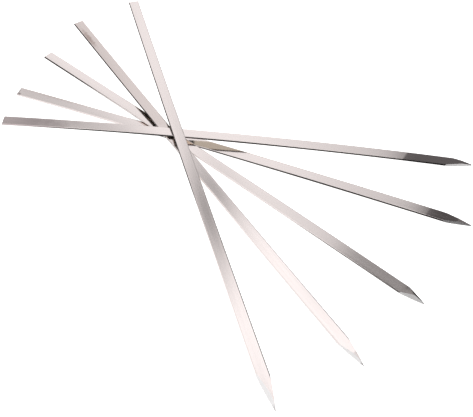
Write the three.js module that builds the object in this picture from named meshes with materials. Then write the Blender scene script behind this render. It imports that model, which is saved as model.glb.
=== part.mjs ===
import * as THREE from "three";

// Five loose kebab skewers, fanned out on a table and piled one on another where they cross.
// Each is one flat steel strip: a square-cut tail, a long blade bent a little by use, and a
// ground spear point. Millimetres. The table is at Z 0, with +Z up. skewer_4 lies along +X,
// and the others swing from it towards -Y.

// The strip that every skewer is made of
const length = 450;
const width = 10.5;
const thickness = 2;
const edgeRadius = 0.9;

// Its point: two ground edges that bulge a little, thinned from above towards the tip
const pointLength = 25;
const tipWidth = 0.5;
const tipThickness = 1;
const bulgeShare = 0.05;
const thinnedShare = 0.5;

// Room between two skewers that lie on each other
const clearance = 0.3;

// How finely a skewer is drawn, and the most of a section that one rounded corner takes
const bladeSteps = 18;
const pointSteps = 10;
const cornerSteps = 2;
const cornerShare = 0.45;

// Halvings of the search for the tilt at which a skewer rests on those below it
const tiltHalvings = 50;

// The fan, from the lowest skewer to the highest. heading is in degrees, anticlockwise from
// +X. reachShare is how far the tail lies behind the middle of the pile, as a share of the
// length, and asideShare how far the skewer passes to the left of that middle, in widths.
// bowShare is the rise of the middle over the ends, as a share of the length, less than zero
// where the ends curl up. lengthShare is how long hand grinding left this one. The last two
// are the lengths of its ground edges, in pointLengths.
const fan = [
  {
    name: "skewer_1", heading: -15.34, reachShare: 0.4024, asideShare: 0, bowShare: 0.006,
    lengthShare: 1.007, leftGrindShare: 1.12, rightGrindShare: 1,
  },
  {
    name: "skewer_2", heading: -34.69, reachShare: 0.4118, asideShare: -0.745, bowShare: 0.0054,
    lengthShare: 0.994, leftGrindShare: 0.72, rightGrindShare: 0.92,
  },
  {
    name: "skewer_3", heading: -50.61, reachShare: 0.4205, asideShare: -1.336, bowShare: -0.006,
    lengthShare: 1.009, leftGrindShare: 1.04, rightGrindShare: 1,
  },
  {
    name: "skewer_4", heading: 0, reachShare: 0.391, asideShare: 0, bowShare: 0.0139,
    lengthShare: 1, leftGrindShare: 0.84, rightGrindShare: 1.1,
  },
  {
    name: "skewer_5", heading: -68.42, reachShare: 0.4001, asideShare: -0.968, bowShare: -0.0096,
    lengthShare: 1, leftGrindShare: 1.1, rightGrindShare: 1.08,
  },
];

// Half the width on one side, at a distance from the tip, where that side's edge is ground
// over a length called grind
function halfWidth(distance, grind) {
  const share = Math.min(distance / grind, 1);
  const bulge = 4 * bulgeShare * share * (1 - share);
  return tipWidth / 2 + ((width - tipWidth) / 2) * (share + bulge);
}

// Thickness of the steel at a distance from the tip
function steelThickness(distance, grind) {
  const share = Math.min(distance / (thinnedShare * grind), 1);
  return tipThickness + (thickness - tipThickness) * share;
}

// Rise of the bent blade over the line through its two ends, at a share of its length
function rise(bow, share) {
  return 4 * bow * share * (1 - share);
}

// Where the sections of one skewer lie along it, from the tail to the tip
function stations(reach, leftGrind, rightGrind) {
  const shoulder = reach - Math.max(leftGrind, rightGrind);
  const lastShoulder = reach - Math.min(leftGrind, rightGrind);
  const along = [];
  for (let i = 0; i <= bladeSteps; i += 1) along.push((shoulder * i) / bladeSteps);
  for (let i = 0; i <= pointSteps; i += 1) {
    along.push(lastShoulder + ((reach - lastShoulder) * i) / pointSteps);
  }
  return along.filter((x, i) => i === 0 || x > along[i - 1]);
}

// The outline of one section, as points across and up from the middle of the underside
function section(left, right, height) {
  const radius = Math.min(edgeRadius, cornerShare * height, cornerShare * (left + right));
  const corners = [
    [left - radius, radius],
    [left - radius, height - radius],
    [radius - right, height - radius],
    [radius - right, radius],
  ];
  const points = [];
  corners.forEach(([y, z], quarter) => {
    for (let i = 0; i <= cornerSteps; i += 1) {
      const angle = (quarter - 1 + i / cornerSteps) * (Math.PI / 2);
      points.push([y + radius * Math.cos(angle), z + radius * Math.sin(angle)]);
    }
  });
  return points;
}

// One skewer lying along +X with its tail at the origin: sections joined by side faces, and
// closed by a flat face at the tail and a small one at the tip
function skewerGeometry(skewer) {
  const leftGrind = skewer.leftGrindShare * pointLength;
  const rightGrind = skewer.rightGrindShare * pointLength;
  const along = stations(skewer.reach, leftGrind, rightGrind);
  const positions = [];
  for (const x of along) {
    const distance = skewer.reach - x;
    const height = steelThickness(distance, Math.min(leftGrind, rightGrind));
    const left = halfWidth(distance, leftGrind);
    const right = halfWidth(distance, rightGrind);
    for (const [y, z] of section(left, right, height)) {
      positions.push(x, y, z + rise(skewer.bow, x / skewer.reach));
    }
  }
  const around = 4 * (cornerSteps + 1);
  const faces = [];
  for (let i = 0; i + 1 < along.length; i += 1) {
    for (let j = 0; j < around; j += 1) {
      const near = i * around + j;
      const nearNext = i * around + ((j + 1) % around);
      faces.push(near, nearNext, nearNext + around, near, nearNext + around, near + around);
    }
  }
  const last = (along.length - 1) * around;
  for (let j = 1; j + 1 < around; j += 1) {
    faces.push(0, j + 1, j, last, last + j, last + j + 1);
  }
  const geometry = new THREE.BufferGeometry();
  geometry.setAttribute("position", new THREE.Float32BufferAttribute(positions, 3));
  geometry.setIndex(faces);
  geometry.computeVertexNormals();
  return geometry;
}

function steel() {
  return new THREE.MeshStandardMaterial({ color: 0xd9d4d2, roughness: 0.28, metalness: 1 });
}

// Works out where a skewer lies, seen from above, how long it is and how far it is bowed
function planned(entry) {
  const turn = THREE.MathUtils.degToRad(entry.heading);
  const direction = new THREE.Vector2(Math.cos(turn), Math.sin(turn));
  const leftward = new THREE.Vector2(-direction.y, direction.x);
  const tail = direction.clone().multiplyScalar(-entry.reachShare * length);
  tail.addScaledVector(leftward, entry.asideShare * width);
  const reach = entry.lengthShare * length;
  const bow = entry.bowShare * length;
  return { ...entry, turn, direction, leftward, tail, reach, bow };
}

// Shares of their lengths at which the edges of two skewers cross, seen from above
function crossings(upper, lower) {
  const shares = [];
  const spread = upper.direction.cross(lower.direction);
  for (const upperSide of [-width / 2, width / 2]) {
    for (const lowerSide of [-width / 2, width / 2]) {
      const start = upper.tail.clone().addScaledVector(upper.leftward, upperSide);
      const apart = lower.tail.clone().addScaledVector(lower.leftward, lowerSide).sub(start);
      const upperShare = apart.cross(lower.direction) / spread / upper.reach;
      const lowerShare = apart.cross(upper.direction) / spread / lower.reach;
      const onBoth = Math.min(upperShare, lowerShare) >= 0 && Math.max(upperShare, lowerShare) <= 1;
      if (onBoth) shares.push([upperShare, lowerShare]);
    }
  }
  return shares;
}

// Height of the tip over the table when the tail is raised above it by lift: zero, or more
// where the ends curl up so far that the belly of the blade touches the table first
function tipHeight(bow, lift) {
  const curl = -4 * bow;
  return curl > lift ? (curl - lift) ** 2 / (4 * curl) : 0;
}

// Height of the underside over the table at a share of the length
function underside(bow, lift, share) {
  return tipHeight(bow, lift) + lift * (1 - share) + rise(bow, share);
}

// Least room between a skewer with its tail raised by lift and those that lie below it
function room(skewer, lift, below) {
  let least = Infinity;
  for (const lower of below) {
    for (const [upperShare, lowerShare] of crossings(skewer, lower)) {
      const top = underside(lower.bow, lower.lift, lowerShare) + thickness;
      least = Math.min(least, underside(skewer.bow, lift, upperShare) - top);
    }
  }
  return least;
}

// How far the tail is raised where the skewer rests on the pile and, by its point, on the table
function restingLift(skewer, below) {
  let low = 0;
  let high = skewer.reach;
  for (let i = 0; i < tiltHalvings; i += 1) {
    const middle = (low + high) / 2;
    if (room(skewer, middle, below) < clearance) low = middle;
    else high = middle;
  }
  return high;
}

// Lays the skewers down one after another, each on those already there
function pile() {
  const laid = [];
  for (const entry of fan) {
    const skewer = planned(entry);
    laid.push({ ...skewer, lift: restingLift(skewer, laid) });
  }
  return laid;
}

// One skewer in its place: turned to its heading about its tail, and tilted down to its tip
function makeSkewer(skewer) {
  const mesh = new THREE.Mesh(skewerGeometry(skewer), steel());
  mesh.name = skewer.name;
  mesh.rotation.y = Math.asin(skewer.lift / skewer.reach);
  mesh.position.z = tipHeight(skewer.bow, skewer.lift) + skewer.lift;
  const heading = new THREE.Group();
  heading.rotation.z = skewer.turn;
  heading.position.set(skewer.tail.x, skewer.tail.y, 0);
  heading.add(mesh);
  return heading;
}

// The whole set, moved so that the middle of its lowest level is the origin
function makeSet() {
  const set = new THREE.Group();
  for (const skewer of pile()) set.add(makeSkewer(skewer));
  const box = new THREE.Box3().setFromObject(set, true);
  const middle = box.getCenter(new THREE.Vector3());
  set.position.set(-middle.x, -middle.y, -box.min.z);
  return set;
}

export default makeSet();
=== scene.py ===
# %% [markdown]
# This lesson dresses a set of five flat kebab skewers that lie fanned out on a white table, piled
# where they cross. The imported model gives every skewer's place and size. Each one is then modelled
# again from a plain bar, with the rounded edges and the ground point that a real one has, and is
# given a steel finish. All lengths are in metres, with +Z up.

import math
from collections import namedtuple

import bpy
from mathutils import Matrix, Vector


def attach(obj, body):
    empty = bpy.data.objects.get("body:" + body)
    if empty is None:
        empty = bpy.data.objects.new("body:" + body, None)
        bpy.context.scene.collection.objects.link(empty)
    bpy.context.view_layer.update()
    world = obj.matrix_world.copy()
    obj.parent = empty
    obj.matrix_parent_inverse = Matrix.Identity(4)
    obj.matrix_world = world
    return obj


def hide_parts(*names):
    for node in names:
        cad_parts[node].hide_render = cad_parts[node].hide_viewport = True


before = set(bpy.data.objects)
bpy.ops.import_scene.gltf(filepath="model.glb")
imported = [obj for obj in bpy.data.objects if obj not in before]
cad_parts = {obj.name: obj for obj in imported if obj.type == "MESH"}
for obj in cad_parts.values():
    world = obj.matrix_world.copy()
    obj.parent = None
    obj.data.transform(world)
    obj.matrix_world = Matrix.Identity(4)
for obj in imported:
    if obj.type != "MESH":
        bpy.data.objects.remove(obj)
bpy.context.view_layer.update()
MM = 0.001
SKEWERS = ["skewer_1", "skewer_2", "skewer_3", "skewer_4", "skewer_5"]
print("skewers, from the lowest to the highest:", ", ".join(SKEWERS))

# %% [markdown]
# The picture was taken from in front and above, a little under sixty centimetres away, with the
# camera turned a few degrees on its side. A camera in Blender looks along its own -Z, with +X to
# its right and +Y above it, so those three directions are worked out and put in a matrix. White
# has to stay white, so the colours are shown as they are, without a film curve.

# %% The camera
SENSOR = 36
LENS = 49.638
AZIMUTH = math.radians(-1.288)
ELEVATION = math.radians(54.339)
ROLL = math.radians(5.657)
DISTANCE = 584.72 * MM
TARGET = Vector((1.19 * MM, -29.23 * MM, 0))


def camera_axes(azimuth, elevation, roll):
    """The camera's own right, up and backward directions."""
    back = Vector((
        math.sin(azimuth) * math.cos(elevation),
        -math.cos(azimuth) * math.cos(elevation),
        math.sin(elevation),
    ))
    level = Vector((math.cos(azimuth), math.sin(azimuth), 0))
    above = back.cross(level)
    right = math.cos(roll) * level + math.sin(roll) * above
    up = math.cos(roll) * above - math.sin(roll) * level
    return right, up, back


def add_camera():
    data = bpy.data.cameras.new("camera")
    data.sensor_width = SENSOR
    data.lens = LENS
    camera = bpy.data.objects.new("camera", data)
    bpy.context.scene.collection.objects.link(camera)
    right, up, back = camera_axes(AZIMUTH, ELEVATION, ROLL)
    place = Matrix((right, up, back)).transposed().to_4x4()
    place.translation = TARGET + back * DISTANCE
    camera.matrix_world = place
    bpy.context.scene.camera = camera
    print("camera at", tuple(round(n, 3) for n in place.translation))


add_camera()
bpy.context.scene.view_settings.view_transform = "Standard"

# %% [markdown]
# Each skewer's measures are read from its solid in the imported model. The solid lies turned and
# tilted, so its two ends are found first. The line from the middle of all its points to the
# farthest of them runs along the blade, the outermost points each way are its end sections, and
# the wider of the two is the tail.

# %% The two ends of a skewer
UP = Vector((0, 0, 1))
SAME = 0.005 * MM
END_DEPTH = 1 * MM


def middle_of(points):
    return sum(points, Vector()) / len(points)


def corners_of(node):
    """The node's corners, each one once, because its triangles share none."""
    corners = {}
    for vertex in node.data.vertices:
        corners[tuple(round(n / SAME) for n in vertex.co)] = vertex.co.copy()
    return list(corners.values())


def spread(points, direction):
    reaches = [point.dot(direction) for point in points]
    return max(reaches) - min(reaches)


def end_section(points, outward):
    """The points of the end that outward points to."""
    edge = max(point.dot(outward) for point in points)
    return [point for point in points if edge - point.dot(outward) < END_DEPTH]


def underside_of(section):
    """The middle of a section's underside."""
    low = min(point.z for point in section)
    return middle_of([point for point in section if point.z < low + SAME])


def find_ends(points):
    """The middles of the underside at the tail and at the tip."""
    centre = middle_of(points)
    farthest = max(points, key=lambda point: (point - centre).length)
    along = (farthest - centre).normalized()
    ends = [end_section(points, along), end_section(points, -along)]
    ends.sort(key=lambda end: spread(end, UP.cross(along)), reverse=True)
    return [underside_of(end) for end in ends]


solid_points = {name: corners_of(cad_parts[name]) for name in SKEWERS}
ends = {name: find_ends(solid_points[name]) for name in SKEWERS}
for name, (tail, tip) in ends.items():
    print("%s has its tail %.1f mm above the table and its tip %.1f mm" % (
        name, tail.z / MM, tip.z / MM))

# %% [markdown]
# A skewer's own frame has +X along the blade from the tail, +Y to the left and the underside at
# zero, so that a straight bar can be modelled there and then put in its place by a matrix. In that
# frame the solid's points fall into upright sections. They tell how wide and thick the blade is
# all along, and how far it is bowed.

# %% The sections of a skewer
NEXT_SECTION = 4 * SAME
Section = namedtuple("Section", "x left right low thick")


def own_frame(tail, tip):
    """The matrix from a skewer's own frame to the scene's."""
    forward = (tip - tail).normalized()
    left = UP.cross(forward).normalized()
    place = Matrix((forward, left, forward.cross(left))).transposed().to_4x4()
    place.translation = tail
    return place


def sections_of(points):
    """The sections from tail to tip: their places, half widths, undersides and thicknesses."""
    rows = {}
    for point in points:
        x = min(rows, key=lambda known: abs(known - point.x), default=None)
        if x is None or abs(x - point.x) > NEXT_SECTION:
            x = point.x
            rows[x] = []
        rows[x].append(point)
    sections = []
    for x, row in sorted(rows.items()):
        low, high = min(p.z for p in row), max(p.z for p in row)
        left, right = max(p.y for p in row), -min(p.y for p in row)
        sections.append(Section(x, left, right, low, high - low))
    return sections


def rise(bow, share):
    """How far a blade bowed by that much rises at a share of its length."""
    return 4 * bow * share * (1 - share)


def bow_of(sections, reach):
    """How far the middle of the blade rises over the line through its ends."""
    middle = min(sections, key=lambda section: abs(section.x / reach - 0.5))
    return middle.low / rise(1, middle.x / reach)


skewers = []
for name, (tail, tip) in ends.items():
    place, reach = own_frame(tail, tip), (tip - tail).length
    to_own = place.inverted()
    sections = sections_of([to_own @ point for point in solid_points[name]])
    width, thickness = sections[0].left + sections[0].right, sections[0].thick
    skewers.append({
        "name": name, "place": place, "sections": sections, "reach": reach, "width": width,
        "thickness": thickness, "bow": bow_of(sections, reach),
    })
    print(name, "is %.1f mm long, %.1f wide, %.1f thick, bowed %.1f, in %d sections" % (
        reach / MM, width / MM, thickness / MM, skewers[-1]["bow"] / MM, len(sections)))

# %% [markdown]
# A real flat skewer is a length of stainless strip. It could be built as a row of sections, but
# here it is made the way the maker does it: a straight bar, its edges rounded, then cut away by
# flat planes at the point, since each touch of the grinding wheel leaves a plane. The bar is a
# cube at the size of the strip. Its scale is applied, so that later steps work in real lengths.

# %% The bars
def start_bar(skewer):
    """A plain bar with its tail at the origin."""
    reach, width, thickness = skewer["reach"], skewer["width"], skewer["thickness"]
    bpy.ops.object.select_all(action="DESELECT")
    bpy.ops.mesh.primitive_cube_add(
        size=1, location=(reach / 2, 0, thickness / 2), scale=(reach, width, thickness))
    bar = bpy.context.active_object
    bar.name = "blade_" + skewer["name"][-1]
    bar.data.name = bar.name
    bpy.ops.object.transform_apply(location=True, rotation=True, scale=True)
    return bar


def select_only(bar):
    bpy.ops.object.select_all(action="DESELECT")
    bar.select_set(True)
    bpy.context.view_layer.objects.active = bar


def edit(bar):
    select_only(bar)
    bpy.ops.object.mode_set(mode="EDIT")


def leave_edit():
    bpy.ops.object.mode_set(mode="OBJECT")


for skewer in skewers:
    skewer["bar"] = start_bar(skewer)
    print(skewer["bar"].name, "starts as a bar of %.1f mm" % (skewer["bar"].dimensions.x / MM))

# %% [markdown]
# The strip leaves the mill with lightly rounded edges. They are bevelled while the bar is still
# whole, because the bevel then meets nothing but straight edges. With no mouse to click on them,
# the edges are picked in code, by a test on their two ends.

# %% Rounding the long edges
EDGE_RADIUS = 0.9 * MM
EDGE_STEPS = 6
LONG = 10 * MM


def pick_edges(bar, test):
    """Selects the bar's edges whose two ends pass a test, and counts them."""
    bpy.ops.mesh.select_mode(type="EDGE")
    bpy.ops.mesh.select_all(action="DESELECT")
    bpy.ops.object.mode_set(mode="OBJECT")
    corners = bar.data.vertices
    chosen = [edge for edge in bar.data.edges if test(*(corners[i].co for i in edge.vertices))]
    for edge in chosen:
        edge.select = True
    bpy.ops.object.mode_set(mode="EDIT")
    return len(chosen)


def runs_along(a, b):
    return abs(a.x - b.x) > LONG


for skewer in skewers:
    edit(skewer["bar"])
    count = pick_edges(skewer["bar"], runs_along)
    bpy.ops.mesh.bevel(
        offset=EDGE_RADIUS, segments=EDGE_STEPS, affect="EDGES", clamp_overlap=False)
    leave_edit()
    print(skewer["bar"].name, "has", count, "edges rounded")

# %% [markdown]
# The point is ground from both sides. Its outline is read from the solid's sections. The wheel
# leaves fewer flats than the solid has, so every second corner of the outline gives one upright
# plane to grind to, from the tip back to the shoulder. Bisect cuts along a plane, clears what lies
# beyond it, and closes the cut with a flat face.

# %% Grinding the outline
CORNERS_PER_FLAT = 2
CUT_TOLERANCE = 1e-7


def cut_away(point, outward):
    """Grinds off all that lies beyond a plane, and leaves a flat face there."""
    bpy.ops.mesh.select_all(action="SELECT")
    bpy.ops.mesh.bisect(
        plane_co=point, plane_no=outward, use_fill=True, clear_outer=True,
        threshold=CUT_TOLERANCE)


def outline(skewer, side):
    """The corners of one edge's outline past its shoulder, as pairs of x and half width."""
    full = skewer["width"] / 2
    corners = [(s.x, s.left if side > 0 else s.right) for s in skewer["sections"]]
    ground = next(i for i, (_, half) in enumerate(corners) if half < full - SAME)
    return corners[ground - 1:]


def grind_outline(skewer, side):
    """Grinds one side of the point, and tells how many flats it has."""
    corners = outline(skewer, side)[::-1]
    corners = corners[:1] + corners[1:-1:CORNERS_PER_FLAT] + corners[-1:]
    for (x1, half1), (x0, half0) in zip(corners, corners[1:]):
        outward = Vector((half0 - half1, (x1 - x0) * side, 0)).normalized()
        cut_away((x0, half0 * side, 0), outward)
    return len(corners) - 1


for skewer in skewers:
    edit(skewer["bar"])
    flats = [grind_outline(skewer, side) for side in (1, -1)]
    leave_edit()
    print(skewer["bar"].name, "has flats on the left and right edge:", *flats)

# %% [markdown]
# The last of the point is thinned from above, and the wheel takes a slanting facet off the upper
# side of most ground edges too. These are more planes. A facet starts at the shoulder, leans
# outward and down, and is as wide there and at the tip as the picture shows it.

# %% Thinning the point and slanting its edges
# For each skewer, the facets of its point: side, width at the shoulder and at the tip, depth
POINT_FACETS = {
    "skewer_1": [(-1, 0.9 * MM, 0.5 * MM, 0.3 * MM)],
    "skewer_2": [(-1, 0.3 * MM, 2.4 * MM, 0.6 * MM), (1, 1.3 * MM, 1.2 * MM, 0.5 * MM)],
    "skewer_3": [(-1, 0.4 * MM, 1.6 * MM, 0.6 * MM)],
    "skewer_4": [(-1, 0.5 * MM, 0.3 * MM, 0.25 * MM)],
    "skewer_5": [(-1, 1.8 * MM, 1.6 * MM, 0.5 * MM)],
}


def thin_point(skewer):
    """Thins the last of the point from above, down to the thickness of the tip."""
    sections, thickness = skewer["sections"], skewer["thickness"]
    thinner = next(i for i, s in enumerate(sections) if s.thick < thickness - SAME)
    start, tip = sections[thinner - 1], sections[-1]
    outward = Vector((thickness - tip.thick, 0, tip.x - start.x)).normalized()
    cut_away((tip.x, 0, tip.thick), outward)


def slant_edge(skewer, side, first_width, last_width, depth):
    """Takes a facet off the top of one ground edge."""
    corners = outline(skewer, side)
    (x0, half0), (x1, half1) = corners[0], corners[-1]
    top = skewer["sections"][-1].thick
    first = Vector((x0, (half0 - first_width) * side, skewer["thickness"]))
    last = Vector((x1, (half1 - last_width) * side, top))
    outer = Vector((x1, half1 * side, top - depth))
    outward = (last - first).cross(outer - first).normalized()
    cut_away(first, outward if outward.z > 0 else -outward)


for skewer in skewers:
    edit(skewer["bar"])
    thin_point(skewer)
    for facet in POINT_FACETS[skewer["name"]]:
        slant_edge(skewer, *facet)
    leave_edit()
    print(skewer["bar"].name, "has", len(POINT_FACETS[skewer["name"]]), "slanting facets")

# %% [markdown]
# The tail was sheared off square, and only its burr is gone, so its edges get one narrow bevel.
# It comes after the long edges, because it has to run round their rounded ends.

# %% The tail
TAIL_RADIUS = 0.08 * MM
TOUCH = 1e-6


def at_tail(a, b):
    return abs(a.x) < TOUCH and abs(b.x) < TOUCH


for skewer in skewers:
    edit(skewer["bar"])
    count = pick_edges(skewer["bar"], at_tail)
    bpy.ops.mesh.bevel(offset=TAIL_RADIUS, segments=1, affect="EDGES", clamp_overlap=True)
    leave_edit()
    print(skewer["bar"].name, "has", count, "edges softened round its tail")

# %% [markdown]
# A long face can't bend, so the bar is scored across in many places, at even distances. That was
# the last cut, and bisect may leave a face that it filled looking inwards, so all of them are
# turned to point outwards.

# %% Scoring the bar
SCORES = 72


def score_across(x):
    """Puts a line of edges round the bar, so that it can bend there."""
    bpy.ops.mesh.select_all(action="SELECT")
    bpy.ops.mesh.bisect(plane_co=(x, 0, 0), plane_no=(1, 0, 0), threshold=CUT_TOLERANCE)


for skewer in skewers:
    edit(skewer["bar"])
    for i in range(1, SCORES):
        score_across(skewer["reach"] * i / SCORES)
    bpy.ops.mesh.select_all(action="SELECT")
    bpy.ops.mesh.normals_make_consistent(inside=False)
    leave_edit()
    print(skewer["bar"].name, "has", len(skewer["bar"].data.polygons), "faces")

# %% [markdown]
# The freshly ground faces get a finish of their own later, so they are found now, while the bar
# is straight and a face's normal tells which cut it comes from. A ground face leans towards the
# tip, and is either nearly upright or turned to the right. Two of the skewers were ground afresh
# on both sides, so on them it may be turned to the left too.

# %% Finding the ground faces
TIPWARD = 0.02
SIDEWARD = 0.1
UPRIGHT = 0.5
PAST_TAIL = 1 * MM
FRESH_ON_BOTH_SIDES = {"skewer_3", "skewer_5"}


def is_ground(face, both_sides):
    """Whether the wheel made a face. The tail's own small bevels are left out."""
    normal = face.normal
    if normal.x < TIPWARD or face.center.x < PAST_TAIL:
        return False
    turned = normal.y < -SIDEWARD or (both_sides and normal.y > SIDEWARD)
    return turned or abs(normal.z) < UPRIGHT


for skewer in skewers:
    both = skewer["name"] in FRESH_ON_BOTH_SIDES
    faces = skewer["bar"].data.polygons
    skewer["ground"] = {face.index for face in faces if is_ground(face, both)}
    print(skewer["bar"].name, "has", len(skewer["ground"]), "ground faces")

# %% [markdown]
# Use has bent each blade a little flatwise. Every row of corners is raised by its share of the
# bow, which is the curve that the solid has too. Then the matrix from before puts the whole mesh
# in its place, and the object itself stays at the origin.

# %% Bending and placing
def bend(skewer):
    """Raises every corner of the blade by its share of the bow."""
    for vertex in skewer["bar"].data.vertices:
        share = min(max(vertex.co.x / skewer["reach"], 0), 1)
        vertex.co.z += rise(skewer["bow"], share)


for skewer in skewers:
    bend(skewer)
    skewer["bar"].data.transform(skewer["place"])
    print(skewer["bar"].name, "is bent by %.1f mm and lies in the pile" % (skewer["bow"] / MM))

# %% [markdown]
# A mirror shows every flaw in its shading. The rounded edges have to shade smoothly, while a
# ground facet and the broad flat of the blade have to stay flat right up to their borders. So
# edges are marked sharp where a ground face ends, and where a broad face meets a narrow one. The
# Weighted Normal modifier then gives the broad faces the say in what is left.

# %% Shading the blades
SMOOTH_UNDER = math.radians(30)
CRISP_OVER = math.radians(2)
UNEVEN = 8
MOST_WEIGHT = 100


def keep_crisp(bar, ground):
    """Marks edges as sharp round the ground faces and the broad flats."""
    beside = {}
    for face in bar.data.polygons:
        for key in face.edge_keys:
            beside.setdefault(key, []).append(face)
    crisp = 0
    for edge in bar.data.edges:
        one, other = beside[edge.key]
        uneven = max(one.area, other.area) > UNEVEN * min(one.area, other.area)
        apart = one.normal.angle(other.normal) > CRISP_OVER
        if apart and (uneven or {one.index, other.index} & ground):
            edge.use_edge_sharp = True
            crisp += 1
    return crisp


for skewer in skewers:
    bar = skewer["bar"]
    select_only(bar)
    bpy.ops.object.shade_smooth_by_angle(angle=SMOOTH_UNDER)
    crisp = keep_crisp(bar, skewer["ground"])
    bpy.ops.object.modifier_add(type="WEIGHTED_NORMAL")
    weigh = bar.modifiers[-1]
    weigh.weight = MOST_WEIGHT
    weigh.keep_sharp = True
    bpy.ops.object.modifier_apply(modifier=weigh.name)
    print(bar.name, "has", crisp, "crisp edges")

# %% [markdown]
# Each finished blade stands for one solid of the imported model and moves with that skewer's body.

# %% Joining the blades to the model
for skewer in skewers:
    bar = skewer["bar"]
    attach(bar, skewer["name"])
    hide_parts(skewer["name"])
    print(bar.name, "stands for", skewer["name"])

# %% [markdown]
# Stainless strip is rolled, so its surface is half a mirror with faint lines along the blade. The
# wheel leaves other lines, across the ground edges. Both could be images, but noise stretched in
# one direction needs no file and never repeats. A node group makes it once for all materials: it
# takes a place on the skewer, and gives fine lines for the colour and broad ones for the gloss.

# %% The lines in the steel
def plug(tree, socket, value):
    """Gives a socket a fixed value, or links another node's output to it."""
    if isinstance(value, bpy.types.NodeSocket):
        tree.links.new(value, socket)
    else:
        socket.default_value = value


def new_group(name, inputs, outputs):
    """A node group, with what it is given and what it has to give back."""
    group = bpy.data.node_groups.new(name, "ShaderNodeTree")
    for kind, sockets in (("INPUT", inputs), ("OUTPUT", outputs)):
        for label, form in sockets.items():
            group.interface.new_socket(label, in_out=kind, socket_type="NodeSocket" + form)
    given = group.nodes.new("NodeGroupInput").outputs
    result = group.nodes.new("NodeGroupOutput").inputs
    return group, given, result


def noise(tree, place, scale, detail=2):
    """Noise from nought to one, with about that many blotches in a metre."""
    node = tree.nodes.new("ShaderNodeTexNoise")
    plug(tree, node.inputs["Vector"], place)
    plug(tree, node.inputs["Scale"], scale)
    plug(tree, node.inputs["Detail"], detail)
    return node.outputs["Fac"]


def streaks(name, fine, broad):
    """Faint lines of two kinds. Their numbers are blotches in a metre along each axis."""
    group, given, result = new_group(
        name, {"Vector": "Vector"}, {"Fine": "Float", "Broad": "Float"})
    for label, stretch, detail in (("Fine", fine, 3), ("Broad", broad, 2)):
        squeeze = group.nodes.new("ShaderNodeMapping")
        plug(group, squeeze.inputs["Vector"], given["Vector"])
        plug(group, squeeze.inputs["Scale"], stretch)
        plug(group, result[label], noise(group, squeeze.outputs["Vector"], 1, detail))
    return group


ROLLED = streaks("rolled lines", (18, 2600, 60), (9, 260, 60))
GROUND = streaks("grinding marks", (1800, 40, 40), (320, 20, 40))
print("lines in the steel:", ROLLED.name, "and", GROUND.name)

# %% [markdown]
# Two of the tails are darker. The darkening ends unevenly, so noise is added to the distance from
# the tail before it is faded out. The group gives a mask, by which a darker colour is laid over the
# steel later. All that is laid over a skewer is kept in one list.

# %% The darker tails
DARKER_TAIL_BLOTCHES = 90
DARKER_TAIL_UNEVEN = 40 * MM
DARKER_TAIL_FADE = 45 * MM
# How long the darker stretch at each tail is, and the colour that it lays over the steel
DARKER_TAILS = {
    "skewer_3": (220 * MM, (0.82, 0.8, 0.79)),
    "skewer_4": (97 * MM, (0.63, 0.6, 0.61)),
}


def math_node(tree, operation, *values):
    node = tree.nodes.new("ShaderNodeMath")
    node.operation = operation
    for socket, value in zip(node.inputs, values):
        plug(tree, socket, value)
    return node.outputs[0]


def fade(tree, value, nought, one):
    """Nought at one limit of a value and one at the other, with a soft change between them."""
    node = tree.nodes.new("ShaderNodeMapRange")
    node.interpolation_type = "SMOOTHSTEP"
    plug(tree, node.inputs["Value"], value)
    plug(tree, node.inputs["From Min"], nought)
    plug(tree, node.inputs["From Max"], one)
    return node.outputs["Result"]


def parts_of(tree, place):
    """How far along the blade, to its left and above its underside a place is."""
    node = tree.nodes.new("ShaderNodeSeparateXYZ")
    plug(tree, node.inputs["Vector"], place)
    return node.outputs


def darker_tail():
    """A mask that is one at the tail and fades out unevenly before a given length."""
    group, given, result = new_group(
        "darker tail", {"Vector": "Vector", "Length": "Float"}, {"Mask": "Float"})
    blotches = noise(group, given["Vector"], DARKER_TAIL_BLOTCHES)
    along = parts_of(group, given["Vector"])["X"]
    uneven = math_node(group, "MULTIPLY_ADD", blotches, DARKER_TAIL_UNEVEN, along)
    fully_dark = math_node(group, "SUBTRACT", given["Length"], DARKER_TAIL_FADE)
    plug(group, result["Mask"], fade(group, uneven, given["Length"], fully_dark))
    return group


DARKER_TAIL = darker_tail()
overlays = {name: [] for name in SKEWERS}
for name, (length, laid_colour) in DARKER_TAILS.items():
    overlays[name].append((DARKER_TAIL, {"Length": length}, laid_colour))
    print(name, "is darker over %.0f mm" % (length / MM))

# %% [markdown]
# Two skewers are dark at the end of the point. The dark steel sets in at once, along a line that
# runs a little aslant, so the mask is a narrow step across the blade.

# %% The dark ends
END_FADE = 3 * MM
# Where each dark end starts, how far that leans across the blade, and the colour laid over it
DARK_ENDS = {
    "skewer_1": (411.5 * MM, -0.33, (0.6, 0.58, 0.59)),
    "skewer_4": (382 * MM, -0.6, (0.41, 0.4, 0.41)),
}


def dark_end():
    """A mask that is one beyond a line across the blade."""
    group, given, result = new_group(
        "dark end", {"Vector": "Vector", "Start": "Float", "Slant": "Float"}, {"Mask": "Float"})
    place = parts_of(group, given["Vector"])
    aslant = math_node(group, "MULTIPLY_ADD", place["Y"], given["Slant"], place["X"])
    past = math_node(group, "SUBTRACT", aslant, given["Start"])
    plug(group, result["Mask"], fade(group, past, 0, END_FADE))
    return group


DARK_END = dark_end()
for name, (start, slant, laid_colour) in DARK_ENDS.items():
    overlays[name].append((DARK_END, {"Start": start, "Slant": slant}, laid_colour))
    print(name, "is dark from %.0f mm on" % (start / MM))

# %% [markdown]
# Darker marks lie at the tails and over the tips. Each mark is a blotch with a ragged border: the
# distance from its middle, in shares of its size, with noise added, faded out. It reaches through
# the whole thickness, so that the bow of the blade makes no difference to it.

# %% The marks
MARK_BLOTCHES = 400
MARK_OUTSIDE = 1.6
MARK_INSIDE = 0.7
MARK_HEIGHT = 2 * MM
MARK_DEPTH = 20 * MM
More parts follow.
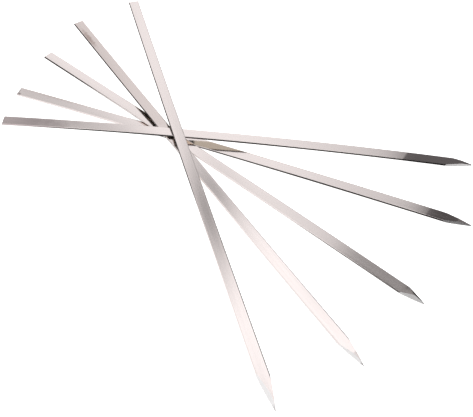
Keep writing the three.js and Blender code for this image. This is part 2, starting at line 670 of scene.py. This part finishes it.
# Each mark's skewer, its middle and half its size, along and across in mm, and its colour
MARKS = [
    ("skewer_1", (0, 0), (1.6, 8), (0.6, 0.59, 0.59)),
    ("skewer_1", (2.2, -3.6), (2.6, 2), (0.45, 0.42, 0.42)),
    ("skewer_1", (38, 4), (42, 2.6), (0.88, 0.86, 0.85)),
    ("skewer_3", (27, -2.2), (17, 3.4), (0.66, 0.6, 0.58)),
    ("skewer_3", (0, -1), (1.2, 7), (0.75, 0.74, 0.74)),
    ("skewer_3", (454, 0), (4, 3), (0.45, 0.44, 0.44)),
    ("skewer_4", (0, 0), (1.2, 8), (0.7, 0.69, 0.69)),
    ("skewer_4", (450, 0), (5, 3), (0.7, 0.69, 0.69)),
    ("skewer_5", (0, 0), (1, 8), (0.85, 0.84, 0.84)),
    ("skewer_5", (450, 0), (5, 3), (0.65, 0.64, 0.64)),
]


def vector_node(tree, operation, *values):
    """One step of vector sums. A length or a dot product comes out as a number."""
    node = tree.nodes.new("ShaderNodeVectorMath")
    node.operation = operation
    for socket, value in zip(node.inputs, values):
        plug(tree, socket, value)
    return node.outputs["Value" if operation in ("LENGTH", "DOT_PRODUCT") else "Vector"]


def dark_mark():
    """A mask that is one at a place on the blade and fades out unevenly round it."""
    group, given, result = new_group(
        "dark_mark", {"Vector": "Vector", "Centre": "Vector", "Size": "Vector"}, {"Mask": "Float"})
    apart = vector_node(group, "SUBTRACT", given["Vector"], given["Centre"])
    shares = vector_node(group, "DIVIDE", apart, given["Size"])
    distance = vector_node(group, "LENGTH", shares)
    blotches = noise(group, given["Vector"], MARK_BLOTCHES)
    uneven = math_node(group, "ADD", distance, blotches)
    plug(group, result["Mask"], fade(group, uneven, MARK_OUTSIDE, MARK_INSIDE))
    return group


DARK_MARK = dark_mark()
for name, (along, across), (half_length, half_width), laid_colour in MARKS:
    centre = (along * MM, across * MM, MARK_HEIGHT)
    size = (half_length * MM, half_width * MM, MARK_DEPTH)
    overlays[name].append((DARK_MARK, {"Centre": centre, "Size": size}, laid_colour))
print(len(MARKS), "marks on tails and tips")

# %% [markdown]
# Each skewer has three finishes: rolled steel on top and at the edges, ground steel on the cuts of
# the wheel, which are more matt and so less like bare metal, and steel tinted tan below, a painted
# reflection that the skewer beneath mirrors. A material reads Object coordinates through a Mapping
# node that turns them into the skewer's own frame, so that lines and marks follow the blade
# whichever way it lies. The dark end is left out of the ground steel, so the ground faces stay
# bright.

# %% The finishes
# Their names, lines and colours, and the least and greatest roughness
FINISHES = [
    # The pink of the rolled steel is partly painted light: the warm tint of the bright cards, laid
    # into the steel's colour
    ("rolled steel", ROLLED, (0.87, 0.79, 0.775), 0.11, 0.15),
    ("ground steel", GROUND, (0.88, 0.86, 0.86), 0.25, 0.35),
    # Its tan is a painted reflection of the warm table, which the skewer beneath mirrors as a tan
    # wedge
    ("underside steel with painted reflection", ROLLED, (0.87, 0.8, 0.67), 0.11, 0.15),
]
# How matt the wheel has left each skewer's ground edges
MATT = {"skewer_1": 0.13, "skewer_2": 0.5, "skewer_3": 0.9, "skewer_4": 0.45, "skewer_5": 0.8}
DULL = 0.94
BUMP_STRENGTH = 0.05
BUMP_DEPTH = 0.01 * MM
# Noise seldom leaves these limits
NOISE_LOW = 0.25
NOISE_HIGH = 0.75
# The colour sockets of a Mix node, which share their names with its other sockets
COLOUR_A, COLOUR_B, COLOUR_OUT = 6, 7, 2


def mix_colours(tree, factor, first, second, blend="MIX"):
    node = tree.nodes.new("ShaderNodeMix")
    node.data_type = "RGBA"
    node.blend_type = blend
    plug(tree, node.inputs["Factor"], factor)
    plug(tree, node.inputs[COLOUR_A], first)
    plug(tree, node.inputs[COLOUR_B], second)
    return node.outputs[COLOUR_OUT]


def span(tree, value, low, high):
    """Turns noise into a value between two numbers."""
    node = tree.nodes.new("ShaderNodeMapRange")
    plug(tree, node.inputs["Value"], value)
    plug(tree, node.inputs["From Min"], NOISE_LOW)
    plug(tree, node.inputs["From Max"], NOISE_HIGH)
    plug(tree, node.inputs["To Min"], low)
    plug(tree, node.inputs["To Max"], high)
    return node.outputs["Result"]


def own_place(tree, skewer):
    """The place on a skewer, in its own frame."""
    node = tree.nodes.new("ShaderNodeMapping")
    node.vector_type = "TEXTURE"
    plug(tree, node.inputs["Vector"], tree.nodes.new("ShaderNodeTexCoord").outputs["Object"])
    plug(tree, node.inputs["Location"], skewer["place"].translation)
    plug(tree, node.inputs["Rotation"], skewer["place"].to_euler())
    return node.outputs["Vector"]


def use_group(tree, group, place, values):
    """Puts a node group in a material, with its values, and gives its outputs."""
    node = tree.nodes.new("ShaderNodeGroup")
    node.node_tree = group
    plug(tree, node.inputs["Vector"], place)
    for label, value in values.items():
        plug(tree, node.inputs[label], value)
    return node.outputs


def steel_colour(tree, place, fine, tint, laid_over):
    """The colour of the steel, with darker lines and with all that is laid over it."""
    dull = [DULL * part for part in tint]
    colour = mix_colours(tree, fine, (*dull, 1), (*tint, 1))
    for group, values, laid_colour in laid_over:
        mask = use_group(tree, group, place, values)["Mask"]
        colour = mix_colours(tree, mask, colour, (*laid_colour, 1), "MULTIPLY")
    return colour


def steel_for(skewer, finish, lines, tint, smoothest, roughest):
    """The material for one finish of one skewer."""
    material = bpy.data.materials.new(finish + " " + skewer["name"][-1])
    material.use_nodes = True
    tree = material.node_tree
    shader = tree.nodes["Principled BSDF"].inputs
    matt = MATT[skewer["name"]] if lines is GROUND else 0
    plug(tree, shader["Metallic"], 1 - matt)
    laid_over = [
        overlay for overlay in overlays[skewer["name"]]
        if not (lines is GROUND and overlay[0] is DARK_END)]
    place = own_place(tree, skewer)
    line = use_group(tree, lines, place, {})
    colour = steel_colour(tree, place, line["Fine"], tint, laid_over)
    plug(tree, shader["Base Color"], colour)
    plug(tree, shader["Roughness"], span(tree, line["Broad"], smoothest, roughest))
    bump = tree.nodes.new("ShaderNodeBump")
    plug(tree, bump.inputs["Height"], line["Fine"])
    plug(tree, bump.inputs["Strength"], BUMP_STRENGTH)
    plug(tree, bump.inputs["Distance"], BUMP_DEPTH)
    plug(tree, shader["Normal"], bump.outputs["Normal"])
    return material


for skewer in skewers:
    for finish in FINISHES:
        skewer["bar"].data.materials.append(steel_for(skewer, *finish))
    print(skewer["bar"].name, "has", len(skewer["bar"].data.materials), "finishes")

# %% [markdown]
# A face takes its finish by its number in the list above. The ground faces were found earlier, and
# a face that looks down gets the tan underside, a painted reflection.

# %% Giving each face its finish
PLAIN, FRESH, BELOW = range(len(FINISHES))
LOOKS_DOWN = -0.9

for skewer in skewers:
    count = [0] * len(FINISHES)
    for face in skewer["bar"].data.polygons:
        rolled = BELOW if face.normal.z < LOOKS_DOWN else PLAIN
        face.material_index = FRESH if face.index in skewer["ground"] else rolled
        count[face.material_index] += 1
    print(skewer["bar"].name, "has rolled, ground and underside faces:", *count)

# %% [markdown]
# The skewers lie on a bright white table that shows no shadow. Real paper looks like that only
# in strong light from all sides, so this table glows evenly instead. The steel doesn't see it,
# because what the steel sees of the table is drawn in the studio below.

# %% The table
FLOOR_SIDE = 12
FLOOR_Z = -0.2 * MM
FLOOR_GREY = 0.9
FLOOR_GLOW = 0.95


def add_sheet(name, middle, long, wide, turn=0):
    """A flat sheet of that size at its place, turned about Y."""
    bpy.ops.object.select_all(action="DESELECT")
    bpy.ops.mesh.primitive_plane_add(size=1, location=middle, rotation=(0, turn, 0))
    sheet = bpy.context.active_object
    sheet.name = name
    sheet.scale = (long, wide, 1)
    bpy.ops.object.transform_apply(location=True, rotation=True, scale=True)
    return sheet


def matt_paint(sheet, name, grey, glow=0):
    """Paints a sheet in an even grey without any gloss, which may glow white."""
    material = bpy.data.materials.new(name)
    material.use_nodes = True
    shader = material.node_tree.nodes["Principled BSDF"].inputs
    shader["Base Color"].default_value = (grey, grey, grey, 1)
    shader["Roughness"].default_value = 1
    shader["Specular IOR Level"].default_value = 0
    shader["Emission Color"].default_value = (1, 1, 1, 1)
    shader["Emission Strength"].default_value = glow
    sheet.data.materials.append(material)


floor = add_sheet("table", (0, 0, FLOOR_Z), FLOOR_SIDE, FLOOR_SIDE)
matt_paint(floor, "white table", FLOOR_GREY, FLOOR_GLOW)
floor.visible_glossy = False
print("table of %.0f by %.0f m" % tuple(floor.dimensions[:2]))

# %% [markdown]
# Steel shows what stands round it, so most of its looks are made by the studio. Sheets and lamps
# could stand there, but it is easier to draw them on a sky that only the steel sees. It is dark
# behind the camera, with a large white card at the back, others overhead and at the sides, and a
# few grey and dark things among them, which show as the darker stretches of the blades. The lower
# half of the sky is the table as the steel sees it.

# %% The cards of the studio
DARK = 0.03
# Each card's name, azimuth from +Y towards +X, elevation, half width, half height and softness in
# degrees, brightness, and how far its top and its sides lean. Each lies over those before it.
CARDS = [
    ("table", 0, -90, 400, 48, 6, 0.45, 0, 0),
    ("table behind", -17, -50, 43, 40, 12, 0.65, 0, 0),
    ("table in front", 180, -60, 75, 26, 14, 0.08, 0, 0),
    ("back card", -15.8, 8, 34.3, 41.5, 1.8, 0.75, 0.29, 0.25),
    ("back glow", -7.6, 39.6, 21.1, 25, 26.7, 1.04, -0.11, 0),
    ("overhead card", 5, 64.3, 43, 7.2, 1.6, 1.31, 0.15, 0),
    ("overhead left", -70, 69, 65, 14, 8, 1, 0, 0),
    ("overhead right", 52, 73, 16, 8, 3, 1.2, 0, 0),
    ("right card", 95, 30, 28, 22, 8, 0.9, 0, 0),
    ("right back", 27, 10, 9, 15, 4, 0.7, 0, 0),
    ("front left card", -127, 36, 10, 24, 4, 1.15, 0, 0),
    ("lamp arm", 1.1, 61, 3.4, 6.7, 8.3, 0, 0.94, -0.13),
    ("right dark", 38.7, 40.8, 15.2, 14.2, 9.8, 0.3, 0, 1.44),
    ("right grey", 39.5, 57, 17.6, 4.7, 2, 0.3, 0.06, -0.77),
    ("right low", 48, 18, 12, 15, 6, 0.05, 0, 0),
    ("left shade", -22.4, 51.8, 9.9, 9.5, 3.1, 0.58, 0.61, -0.34),
    ("left strip", -141, 11, 3, 9, 4, 1, 0, 0),
]
print("the sky has", len(CARDS), "cards, from", CARDS[0][0], "to", CARDS[-1][0])

# %% [markdown]
# Each card is a patch of the sky between two azimuths and two elevations. From the direction in
# which the steel looks, the nodes work out how far across and above the card's middle that is,
# fade each of the two at the card's border, and mix the card's brightness over what lies behind.

# %% Drawing the cards
def soft_edge(tree, offset, half, soft):
    """One inside a half size, nought beyond it, with a soft change between; all in degrees."""
    outside, inside = math.radians(half + soft / 2), math.radians(half - soft / 2)
    return fade(tree, math_node(tree, "ABSOLUTE", offset), outside, inside)


def angle_across(tree, look, azimuth):
    """How far the look turns to the right of an azimuth."""
    side = (math.cos(azimuth), -math.sin(azimuth), 0)
    ahead = (math.sin(azimuth), math.cos(azimuth), 0)
    aside = vector_node(tree, "DOT_PRODUCT", look, side)
    onward = vector_node(tree, "DOT_PRODUCT", look, ahead)
    return math_node(tree, "ARCTAN2", aside, onward)


def lean(tree, angle, other, share):
    """Takes a share of the other angle from an angle, which slants the card's border."""
    return math_node(tree, "SUBTRACT", angle, math_node(tree, "MULTIPLY", other, share))


def add_card(tree, look, height, behind, card):
    """Lays one card over the brightness behind it."""
    _, azimuth, elevation, half_wide, half_high, soft, level, top_lean, side_lean = card
    across = angle_across(tree, look, math.radians(azimuth))
    above = math_node(tree, "SUBTRACT", height, math.radians(elevation))
    in_width = soft_edge(tree, lean(tree, across, above, side_lean), half_wide, soft)
    in_height = soft_edge(tree, lean(tree, above, across, top_lean), half_high, soft)
    mix = tree.nodes.new("ShaderNodeMix")
    plug(tree, mix.inputs["Factor"], math_node(tree, "MULTIPLY", in_width, in_height))
    plug(tree, mix.inputs["A"], behind)
    plug(tree, mix.inputs["B"], level)
    return mix.outputs["Result"]


world = bpy.data.worlds.new("studio")
bpy.context.scene.world = world
world.use_nodes = True
sky = world.node_tree
sky.nodes.clear()
look = sky.nodes.new("ShaderNodeTexCoord").outputs["Generated"]
height = math_node(sky, "ARCSINE", vector_node(sky, "DOT_PRODUCT", look, UP))
brightness = DARK
for card in CARDS:
    brightness = add_card(sky, look, height, brightness, card)
print("the cards are drawn with", len(sky.nodes), "nodes")

# %% [markdown]
# Only a glossy ray, which is one that the steel mirrors, finds the drawn sky. All others find an
# even white one, so that the table and the matt edges are lit softly from everywhere.

# %% Who sees the cards
def background(tree, strength):
    node = tree.nodes.new("ShaderNodeBackground")
    plug(tree, node.inputs["Color"], (1, 1, 1, 1))
    plug(tree, node.inputs["Strength"], strength)
    return node.outputs["Background"]


ray = sky.nodes.new("ShaderNodeLightPath")
chosen = sky.nodes.new("ShaderNodeMixShader")
shown = sky.nodes.new("ShaderNodeOutputWorld")
plug(sky, chosen.inputs[0], ray.outputs["Is Glossy Ray"])
plug(sky, chosen.inputs[1], background(sky, 1))
plug(sky, chosen.inputs[2], background(sky, brightness))
plug(sky, shown.inputs["Surface"], chosen.outputs[0])
print("glossy rays see the drawn sky, all others an even white")

# %% [markdown]
# The card on the left stands so close that each skewer sees another part of it, so it is a real
# upright sheet. It reaches below the table, where it stands for its own reflection in the table.

# %% The left card
CARD_X = -0.35
CARD_Y = (-0.42, 0.03)
CARD_Z = (-0.65, 0.7)
CARD_GLOW = 1.12


def show_in_mirrors_only(sheet):
    """Hides a sheet from the camera, and lets it neither light nor shade the table."""
    sheet.visible_camera = False
    sheet.visible_diffuse = False
    sheet.visible_shadow = False


left_card = add_sheet(
    "left_card", (CARD_X, sum(CARD_Y) / 2, sum(CARD_Z) / 2),
    CARD_Z[1] - CARD_Z[0], CARD_Y[1] - CARD_Y[0], math.pi / 2)
matt_paint(left_card, "left card", 0, CARD_GLOW)
show_in_mirrors_only(left_card)
print("left card %.2f m wide and %.2f m high" % (left_card.dimensions.y, left_card.dimensions.z))

# %% [markdown]
# The pile keeps the light off the table under it. The steel mirrors that shade in the narrow gaps
# between two skewers, where it shows as black lines, so a dark sheet lies there for it to see.

# %% The shade under the pile
SHADE_X = (-110 * MM, -45.5 * MM)
SHADE_Y = (38 * MM, 100 * MM)
SHADE_Z = -0.1 * MM
SHADE_GREY = 0.02

shade = add_sheet(
    "shade", (sum(SHADE_X) / 2, sum(SHADE_Y) / 2, SHADE_Z),
    SHADE_X[1] - SHADE_X[0], SHADE_Y[1] - SHADE_Y[0])
matt_paint(shade, "shade", SHADE_GREY)
show_in_mirrors_only(shade)
print("shade of %.0f by %.0f mm" % (shade.dimensions.x / MM, shade.dimensions.y / MM))
